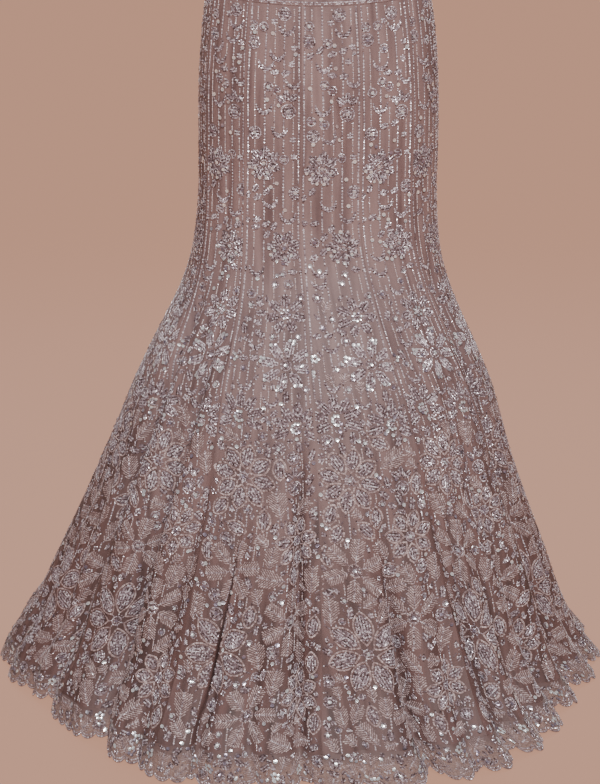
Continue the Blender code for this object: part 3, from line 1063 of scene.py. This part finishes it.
class Work:
    """The beadwork of one panel, laid out flat, with a map of what is already covered."""

    CELL = 1.4
    CROSS = ((0, 0), (-1, 0), (1, 0), (0, -1), (0, 1))

    def __init__(self, panel, seed, margin=1.0):
        self.panel, self.margin = panel, margin
        self.random = np.random.default_rng(seed)
        self.tables = []
        rows = int(panel.along[-1] / self.CELL) + 12
        self.half = int(panel.width.max() / 2 / self.CELL) + 6
        self.taken = np.zeros((rows, 2 * self.half + 1), bool)

    def cells(self, table):
        """The cells under each bead: at its middle, and towards both ends of a long one."""
        found = []
        for share in (-0.65, 0.0, 0.65):
            x = table[:, X] + share * table[:, LONG] * np.cos(table[:, ANGLE])
            y = table[:, Y] + share * table[:, LONG] * np.sin(table[:, ANGLE])
            row = np.clip((y / self.CELL).astype(int) + 4, 0, self.taken.shape[0] - 1)
            column = np.round(x / self.CELL).astype(int) + self.half
            found.append((row, np.clip(column, 0, self.taken.shape[1] - 1)))
        return found

    def inside(self, table):
        """Which beads lie on the panel, clear of its seams and ends."""
        edge = self.panel.width_at(table[:, Y]) / 2 - self.margin
        reach_x = np.abs(np.cos(table[:, ANGLE])) * table[:, LONG]
        reach_y = np.abs(np.sin(table[:, ANGLE])) * table[:, LONG]
        top, foot = table[:, Y] - reach_y > 0.9, table[:, Y] + reach_y < self.panel.along[-1] - 0.3
        return (np.abs(table[:, X]) + reach_x < edge) & top & foot

    def free(self, table):
        """Which beads lie on cloth that nothing covers yet."""
        busy = np.zeros(len(table), bool)
        for row, column in self.cells(table):
            busy |= self.taken[row, column]
        return ~busy

    def keep(self, table, spread):
        """Stores beads, each a little out of place and of its own tone, with a share of them set to
        the brightest tone as painted glints, and marks the cloth.
        """
        count = len(table)
        calm = np.where(table[:, LONG] > 1.5 * table[:, WIDE], LONG_BEAD_CALM, 1.0)
        table[:, TONE] += self.random.normal(0.0, spread, count) * calm
        # Painted glints: a share of the seeds and bugles take the brightest tone.
        glint = (table[:, KIND] <= BUGLE) & (self.random.random(count) < PAINTED_GLINT_SHARE)
        table[glint, TONE] = 1.0
        table[:, TILT] *= self.random.uniform(-1.0, 1.0, count) * (2.2 - 1.4 * table[:, TONE])
        loose = (table[:, KIND] != BUGLE) & (table[:, LONG] == table[:, WIDE])
        table[loose, ANGLE] = self.random.uniform(0, math.tau, loose.sum())
        table[:, [X, Y]] += self.random.normal(0.0, OUT_OF_PLACE, (count, 2)) * calm[:, None]
        self.tables.append(table)
        rows, columns = self.taken.shape
        for row, column in self.cells(table):
            for down, right in self.CROSS:
                r = np.clip(row + down, 0, rows - 1)
                self.taken[r, np.clip(column + right, 0, columns - 1)] = True

    def lay(self, table, most_busy=1.0):
        """Adds the beads that fall on free cloth, unless too many of them don't."""
        on, free = self.inside(table), self.free(table)
        if not on.any() or (~free & on).mean() > most_busy:
            return
        self.keep(table[on & free], TONE_SPREAD)

    def motif(self, name, share, along, turn, most_busy=1.0):
        """A motif at a share of the way across. Where it passes a seam, the rest of it comes in at
        the other side, because the next panel has the same one."""
        width = float(self.panel.width_at(along))
        table = moved(MOTIFS[name], 0.0, along, turn)
        reach = np.abs(table[:, X]).max()
        for shift in (0.0, 1.0, -1.0):
            x = (share + shift - 0.5) * width
            if abs(x) - reach < width / 2:
                self.lay(moved(table, x, 0.0), most_busy)

    def line(self, share, start, stop, dotted, edge_gap=0.0):
        """A line of beads at a share of the way across: large and small seeds in turn, or bugles
        with a seed between each two."""
        pitch = PITCH if dotted else BUGLE_PITCH
        along = np.arange(start, stop, pitch)
        x = (share - 0.5) * (self.panel.width_at(along) - 2 * edge_gap)
        x = x + 0.3 * np.sin(along / 23.0 + share * 40)
        first = np.arange(len(along)) % 2 == 0
        if dotted:
            half = np.where(first, 1.32, 1.0)
            tone = np.where(first, 0.84, 0.56)
            table = beads(x, along, 0.0, half, half, half * 1.1, 0.0, tone)
        else:
            kind = np.where(first, BUGLE, SEED)
            half = np.where(first, 2.2, 1.2)
            wide = np.where(first, 0.7, 1.2)
            tone = np.where(first, 0.95, 0.85)
            table = beads(x, along, math.pi / 2, half, wide, 1.3, 0.0, tone, kind)
        table = table[self.inside(table) & self.free(table)]
        self.keep(table, LINE_SPREAD)

    def fill(self, tries, top, foot, names, most_lost, turned=0.8):
        """Tries small motifs at random places, and lays those that lose few of their beads."""
        along = self.random.uniform(top, foot, tries)
        x = self.random.uniform(-0.49, 0.49, tries) * self.panel.width_at(along)
        turn = self.random.normal(0.0, turned, tries)
        which = self.random.integers(len(names), size=tries)
        for i in range(tries):
            if self.taken[int(along[i] / self.CELL) + 4, int(round(x[i] / self.CELL)) + self.half]:
                continue
            table = moved(MOTIFS[names[which[i]]], x[i], along[i], turn[i])
            kept = self.inside(table) & self.free(table)
            if kept.mean() >= 1.0 - most_lost:
                self.keep(table[kept], TONE_SPREAD)

    def leave_bare(self, crease):
        """Keeps beads out of a deep crease: the cells between its two lips count as covered."""
        panel = self.panel
        down = (panel.drops - crease.top) / (crease.foot - crease.top)
        seen = np.radians(crease.top_angle + (crease.foot_angle - crease.top_angle) * down)
        crowd = along_table(SECTIONS, "crowd", panel.drops)
        middle = seen - np.radians(along_table(SECTIONS, "turn", panel.drops))
        middle = middle + crowd * np.sin(2 * seen)
        middle = middle + math.tau * np.round((panel.angle.mean() - middle) / math.tau)
        deep = np.sin(math.pi * np.clip(down, 0.0, 1.0))
        half = math.radians(crease.reach) * 1.5 * deep
        along = (np.arange(self.taken.shape[0]) - 4) * self.CELL
        lips = []
        for side in (-1, 1):
            rows = zip(middle + side * half, panel.angle, panel.width)
            lip = [(np.interp(at, row, panel.shares) - 0.5) * width for at, row, width in rows]
            lips.append(np.interp(along, panel.along, lip)[:, None])
        across = (np.arange(self.taken.shape[1]) - self.half) * self.CELL
        self.taken |= (across > lips[0]) & (across < lips[1])

    def all(self):
        """The beads laid so far, in one table."""
        return np.vstack(self.tables)


# The form of each kind of bead: its corners, as shares of its half length, half width and rise,
# and its faces, by corner numbers, each turned to look out.
CUP = [(math.cos(a), math.sin(a), 1.0) for a in np.arange(6) * math.pi / 3] + [(0, 0, 0.8)]
CONE = (
    [(-0.8, -0.8, 0.45), (0.8, -0.8, 0.45), (0.8, 0.8, 0.45), (-0.8, 0.8, 0.45), (0, 0, 1)],
    [[(1, 0, 4), (2, 1, 4), (3, 2, 4), (0, 3, 4)]],
)
FORMS = {
    SEED: CONE,
    BUGLE: (
        [
            (-1, -1, 0.4), (1, -1, 0.4), (1, 1, 0.4), (-1, 1, 0.4), (-0.85, 0, 1), (0.85, 0, 1),
        ],
        [[(1, 0, 4, 5), (3, 2, 5, 4)], [(2, 1, 5), (0, 3, 4)]],
    ),
    SEQUIN: (CUP, [[((i + 1) % 6, i, 6) for i in range(6)]]),
    ROSE: CONE,
}
BEAD_PAINTS = ("glass_beads", "foil_sequins", "rose_beads")
PAINT_OF = {SEED: 0, BUGLE: 2, SEQUIN: 1, ROSE: 2}


def bead_object(name, panel, table, settings):
    """One mesh of all the beads on a panel. Each corner is placed flat, then carried onto the
    cloth. The map for baking gives each bead a square of its own."""
    table[:, [LONG, WIDE, RISE]] *= settings.beads.size
    points, faces, which, tones, places = [], [], [], [], []
    side = math.ceil(math.sqrt(len(table)))
    start, cell = 0, 0
    for kind, (corners, face_groups) in FORMS.items():
        some = table[table[:, KIND] == kind][..., None]
        corners = np.array(corners)
        right, down = corners[:, 0] * some[:, LONG], corners[:, 1] * some[:, WIDE]
        c, s = np.cos(some[:, ANGLE]), np.sin(some[:, ANGLE])
        across = some[:, X] + c * right - s * down
        along = some[:, Y] + s * right + c * down
        rise = corners[:, 2] * some[:, RISE] + corners[:, 0] * some[:, TILT]
        rise = np.maximum(rise, LOWEST_RIM if kind == SEQUIN else 0.0)
        points.append(panel.at(across, along, rise).reshape(-1, 3))
        tones.append(np.repeat(some[:, TONE], len(corners)))
        number = np.arange(len(some))
        square = np.stack([(cell + number) % side, (cell + number) // side], axis=-1)
        inner = 0.5 + 0.4 * corners[:, :2]
        places.append(((square[:, None, :] + inner) / side).reshape(-1, 2))
        for group in face_groups:
            base = start + number[:, None, None] * len(corners)
            group = (base + np.array(group)).reshape(-1, len(group[0]))
            faces.append(group)
            which.append(np.full(len(group), PAINT_OF[kind]))
        start += len(some) * len(corners)
        cell += len(some)
    paints = finishes(settings)
    materials = [paints[name] for name in BEAD_PAINTS]
    obj = make_mesh(name, np.vstack(points), faces, materials, which)
    obj.data.shade_flat()
    tone = obj.data.attributes.new("tone", "FLOAT", "POINT")
    tone.data.foreach_set("value", np.clip(np.concatenate(tones), 0, 1).astype(np.float32))
    add_map(obj, BAKE_MAP, np.vstack(places))
    return obj


def cloth_object(name, panel, number, materials, wall):
    """The panel's grid as a mesh with a thin wall grown inwards, whose inner face is the lining.
    The wall is in metres."""
    obj = make_mesh(name, panel.points.reshape(-1, 3), [panel.faces()], materials)
    add_map(obj, FLAT_MAP, panel.flat_map(number).reshape(-1, 2))
    ends = np.empty(len(obj.data.edges) * 2, np.int32)
    obj.data.edges.foreach_get("vertices", ends)
    rows, columns = panel.points.shape[:2]
    row, column = np.divmod(ends.reshape(-1, 2), columns)
    sharp = np.zeros(len(row), bool)
    for place, last in ((row, rows - 1), (column, columns - 1)):
        sharp |= (place[:, 0] == place[:, 1]) & np.isin(place[:, 0], (0, last))
    obj.data.attributes.new("sharp_edge", "BOOLEAN", "EDGE").data.foreach_set("value", sharp)
    solid = obj.modifiers.new("wall", "SOLIDIFY")
    solid.thickness = wall
    solid.offset = -1.0
    solid.material_offset = 1 if len(materials) > 1 else 0
    return obj


def seam_angle(number):
    """Where a kali's first seam lies round the skirt, in radians."""
    return math.tau * number / KALIS


def settle(obj, slot, *nodes):
    """Puts a piece on the skirt's body and hides the solids that it replaces. The slot is not used.
    """
    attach(obj, BODY)
    if nodes:
        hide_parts(*nodes)


def kali_panel(number):
    """The cloth of one kali, with closer columns where the narrow crevice runs."""
    columns = CREVICE_COLUMNS if number == CREVICE_KALI else KALI_COLUMNS
    shares = np.concatenate([[0.0, 0.016], np.linspace(0.04, 0.96, columns), [0.984, 1.0]])
    upper = np.linspace(SEAM_DROP, DENSE_DROP, 26)
    lower = np.linspace(DENSE_DROP, BORDER_DROP, 36)
    drops = np.concatenate([upper, lower[1:]])
    return Panel(seam_angle(number), seam_angle(number + 1), shares, drops, ridge=0.9)


def kali_work(panel, number):
    """The beadwork of one kali: the layout, the lines that run between it, and the fillers."""
    work = Work(panel, KALI_SEED + number)
    if number == CREVICE_KALI:
        work.leave_bare(CREVICE)
    for place in LAYOUT:
        share = place.share + work.random.normal(0.0, SHARE_JITTER)
        along = panel.row_at(place.drop) + work.random.normal(0.0, DROP_JITTER)
        turn = place.turn + work.random.normal(0.0, TURN_JITTER)
        work.motif(place.motif, share, along, turn)
    foot = panel.along[-1]
    flare, dense = panel.row_at(FLARE_DROP), panel.row_at(DENSE_DROP)
    for share in (0.0, 1.0):
        work.line(share, 3.0, dense, True, SEAM_LINE)
    work.fill(140, panel.row_at(40), flare, HIP, 0.04, 0.3)
    work.fill(500, panel.row_at(600), foot - 4, LARGE, 0.06)
    work.fill(700, dense, foot - 4, MIDDLING, 0.08)
    work.fill(260, flare, dense, SMALL, 0.08)
    work.fill(1800, dense, foot - 2, SMALL, 0.15)
    for line in LINES:
        work.line(line.share, panel.row_at(line.start), foot, line.dotted)
    work.fill(3000, dense, foot - 1, LITTLE, 0.18)
    work.fill(1500, dense, foot - 1, DOTS, 0.0)
    return work


def border_panel(number):
    """The net below one kali, with a scalloped lower edge."""
    shares = np.linspace(0, 1, SCALLOPS * SCALLOP_COLUMNS + 1)
    drops = np.linspace(BORDER_DROP, HEM_DROP, 5)
    return Panel(seam_angle(number), seam_angle(number + 1), shares, drops, scallops=SCALLOPS)


def border_work(panel, number):
    """The border's beadwork: two rows along the scallops, and leaves, rosettes and sequins."""
    work = Work(panel, BORDER_SEED + number, margin=0.4)
    foot = panel.along[-1]
    for along in (foot - 1.9, foot - 5.4):
        x = np.arange(-0.5, 0.5, PITCH / panel.width.max()) * panel.width_at(along)
        work.lay(beads(x, along, 0.0, tone=0.66))
    work.fill(5, 8, foot - 10, ["bright_spot"], 0.1)
    work.fill(200, 2, foot - 6, MIDDLING, 0.15)
    work.fill(300, 2, foot - 5, SMALL, 0.2)
    work.fill(500, 1, foot - 3, LITTLE, 0.25)
    work.fill(500, 1, foot - 3, DOTS, 0.0)
    for table in work.tables:
        table[:, TONE] -= 0.1
    return work


def band_panel(first, last):
    """One half of the waistband, between two angles, a little proud of the kalis."""
    drops = np.linspace(SEAM_DROP - BAND_HEIGHT, SEAM_DROP, 6)
    return Panel(first, last, np.linspace(0, 1, 61), drops, proud=BAND_PROUD)


def band_work(panel, number):
    """The waistband's beadwork: two rows along each edge, rosettes in a line, and filling."""
    work = Work(panel, BAND_SEED + number, margin=0.8)
    foot = panel.along[-1]
    for along in (2.0, 4.6, foot - 4.4, foot - 1.9):
        x = np.arange(-0.5, 0.5, PITCH / panel.width.max()) * panel.width_at(along)
        work.lay(beads(x, along, 0.0, tone=0.72))
    for share in (np.arange(BAND_ROSETTES) + 0.5) / BAND_ROSETTES:
        work.motif("rosette", share, foot / 2, 0.0, 0.3)
    work.fill(300, 6, foot - 6, SMALL, 0.15)
    work.fill(500, 6, foot - 6, LITTLE, 0.2)
    return work


def finishes(settings):
    """The materials, made once and then found by name."""
    cloth, beads = settings.cloth, settings.beads
    if "net_on_lining" not in bpy.data.materials:
        paint_ground("net_on_lining", cloth)
        paint_lining("lining_satin", cloth)
        paint_net("open_net", cloth)
        # Tone 1 on these ramps is partly painted glint: on some seeds and bugles, and on the white
        # sequins.
        glass = [(0.0, beads.glass_dark), (0.42, beads.glass_dim), (0.75, beads.glass_light),
                 (1.0, beads.glass_bright_and_glint)]
        rose = [(0.0, beads.rose_dark), (0.6, beads.rose_middle), (1.0, beads.rose_light_and_glint)]
        foil = [(0.0, beads.foil_dark), (0.65, beads.foil_middle), (0.95, beads.foil_bright_and_glint)]
        paint_beads("glass_beads", glass, 0.25, 0.24)
        paint_beads("rose_beads", rose, 0.0, 0.5)
        paint_beads("foil_sequins", foil, 0.5, 0.2)
    return bpy.data.materials


def dress(node, slot, number, panel, table, settings, paints, wall, ending="cloth"):
    """One panel's cloth and beadwork on the skirt's body, with the solid that they stand for hidden.
    The size they were cut to is worked out but not used.
    """
    cloth = cloth_object(f"{node}_{ending}", panel, number, paints, wall)
    settle(cloth, slot, node)
    work = bead_object(f"{node}_beadwork", panel, table, settings)
    settle(work, slot)
    size = (panel.width.max() * MM, panel.along[-1] * MM)


class MakeKalis(bpy.types.Operator):
    """Make the twelve kalis and their beadwork"""

    bl_idname = "skirt.make_kalis"
    bl_label = "Make the Kalis"

    def execute(self, context):
        settings = context.scene.skirt
        paints = finishes(settings)
        paints = [paints["net_on_lining"], paints["lining_satin"]]
        for number in range(KALIS):
            panel = kali_panel(number)
            area = float((panel.width[:-1] * np.diff(panel.along)).sum()) * MM * MM
            dress(f"kali_{number + 1:02d}", "beaded_net", number, panel,
                  kali_work(panel, number).all(), settings, paints, settings.cloth.kali_wall)
        return {"FINISHED"}


class MakeBorders(bpy.types.Operator):
    """Make the scalloped border under each kali"""

    bl_idname = "skirt.make_borders"
    bl_label = "Make the Borders"

    def execute(self, context):
        settings = context.scene.skirt
        paints = [finishes(settings)["open_net"]]
        for number in range(KALIS):
            panel = border_panel(number)
            dress(f"hem_border_{number + 1:02d}", "border_net", number, panel,
                  border_work(panel, number).all(), settings, paints,
                  settings.cloth.border_wall, ending="net")
        return {"FINISHED"}


class MakeWaistband(bpy.types.Operator):
    """Make the two halves of the waistband"""

    bl_idname = "skirt.make_waistband"
    bl_label = "Make the Waistband"

    def execute(self, context):
        settings = context.scene.skirt
        paints = finishes(settings)
        paints = [paints["net_on_lining"], paints["lining_satin"]]
        quarter = math.pi / 2
        side = quarter - math.radians(float(along_table(SECTIONS, "turn", SEAM_DROP)))
        halves = {"waistband_front": side - 2 * quarter, "waistband_back": side}
        for number, (node, first) in enumerate(halves.items()):
            panel = band_panel(first, first + 2 * quarter)
            dress(node, "waistband_cloth", number, panel, band_work(panel, number).all(),
                  settings, paints, settings.cloth.band_wall)
        return {"FINISHED"}


# The soft lights, in metres, watts and degrees. A fuller spread lights a wider room.
Softbox = namedtuple("Softbox", "name place side watts spread")
SOFTBOXES = [
    Softbox("right glint", (2.5, -2.7, 2.2), 0.25, 9, 180),
    Softbox("left glint", (-2.2, -2.9, 2.2), 0.25, 14, 180),
    Softbox("back left", (-1.3, 3.2, 1.3), 1.2, 15, 80),
    Softbox("back right", (1.3, 3.2, 1.3), 1.2, 15, 80),
]
LIT_MIDDLE = (0.0, 0.0, -0.45)


def add_softbox(box):
    """A square area light that faces the middle of the skirt."""
    light = bpy.data.lights.new(box.name, "AREA")
    light.shape = "SQUARE"
    light.size = box.side
    light.energy = box.watts
    light.spread = math.radians(box.spread)
    obj = bpy.data.objects.new(box.name, light)
    obj.location = box.place
    toward = Vector(LIT_MIDDLE) - Vector(box.place)
    obj.rotation_euler = toward.to_track_quat("-Z", "Y").to_euler()
    bpy.context.scene.collection.objects.link(obj)


def add_floor(stage, level):
    """A plain floor that gives some even light of its own, like a lit backdrop."""
    corners = FLOOR_REACH * np.array([(-1, -1), (1, -1), (1, 1), (-1, 1)])
    points = np.column_stack([corners, np.full(4, level - FLOOR_GAP)]) / MM
    paint = Paint("studio_floor", Metallic=0.0, Roughness=0.9)
    place = paint.add("ShaderNodeTexCoord", {}, {}, output="Object")
    paler = [1.1 * value for value in stage.floor]
    cloud = paint.noise(place, 0.8, 3.0)
    paint.feed(Base_Color=paint.ramp(cloud, [(0.3, stage.floor), (0.7, paler)]))
    paint.shader.inputs["Emission Color"].default_value = opaque(stage.glow)
    paint.shader.inputs["Emission Strength"].default_value = 1.0
    make_mesh("studio_floor", points, [np.array([[0, 1, 2, 3]])], [paint.material])


def add_world(scene):
    """A faint even light from all round."""
    world = bpy.data.worlds.new("studio")
    world.use_nodes = True
    backdrop = world.node_tree.nodes["Background"]
    backdrop.inputs["Color"].default_value = (0.95, 0.93, 1.0, 1.0)
    backdrop.inputs["Strength"].default_value = 0.07
    scene.world = world


def add_camera(scene, stage, level):
    """The camera at the photograph's angle, with its lens worked out from the photograph."""
    camera = bpy.data.cameras.new("camera")
    camera.sensor_width = 36.0
    camera.lens = LENS_PIXELS * camera.sensor_width / PHOTO_HEIGHT
    camera.clip_end = 200.0
    obj = bpy.data.objects.new("camera", camera)
    obj.location = (CAMERA_LEFT, -stage.camera_away, stage.camera_up + level)
    obj.rotation_euler = (math.pi / 2 - stage.camera_pitch, 0.0, 0.0)
    scene.collection.objects.link(obj)
    scene.camera = obj


class MakeStage(bpy.types.Operator):
    """Make the floor, the soft lights and the camera"""

    bl_idname = "skirt.make_stage"
    bl_label = "Make the Stage"

    def execute(self, context):
        stage = context.scene.skirt.stage
        floor_level = -HEM_DROP * MM
        add_floor(stage, floor_level)
        add_world(context.scene)
        add_softbox(Softbox("key", (0.45, -3.3, 2.7), 0.9, stage.key_power, 180))
        for box in SOFTBOXES:
            add_softbox(box)
        add_camera(context.scene, stage, floor_level)
        return {"FINISHED"}


class SkirtPanel(bpy.types.Panel):
    """Lists the skirt's operators and settings in the sidebar"""

    bl_idname = "VIEW3D_PT_skirt"
    bl_label = "Skirt"
    bl_space_type = "VIEW_3D"
    bl_region_type = "UI"
    bl_category = "Skirt"

    def draw(self, context):
        settings = context.scene.skirt
        for operator in OPERATORS:
            self.layout.operator(operator.bl_idname)
        for group in (settings.cloth, settings.beads, settings.stage):
            column = self.layout.column()
            for name in type(group).__annotations__:
                column.prop(group, name)


GROUPS = (ClothSettings, BeadSettings, StageSettings, SkirtSettings)
OPERATORS = (MakeKalis, MakeBorders, MakeWaistband, MakeStage)


def register():
    """Tells Blender of the classes, and gives each scene the skirt's settings."""
    for kind in (*GROUPS, *OPERATORS, SkirtPanel):
        bpy.utils.register_class(kind)
    bpy.types.Scene.skirt = bpy.props.PointerProperty(
        name="Skirt", description="The skirt's settings", type=SkirtSettings
    )


def unregister():
    """Takes back what register did."""
    del bpy.types.Scene.skirt
    for kind in reversed((*GROUPS, *OPERATORS, SkirtPanel)):
        bpy.utils.unregister_class(kind)


def main():
    """Makes every piece and the stage in turn."""
    register()
    bpy.ops.skirt.make_kalis()
    bpy.ops.skirt.make_borders()
    bpy.ops.skirt.make_waistband()
    bpy.ops.skirt.make_stage()


if __name__ == "__main__":
    main()
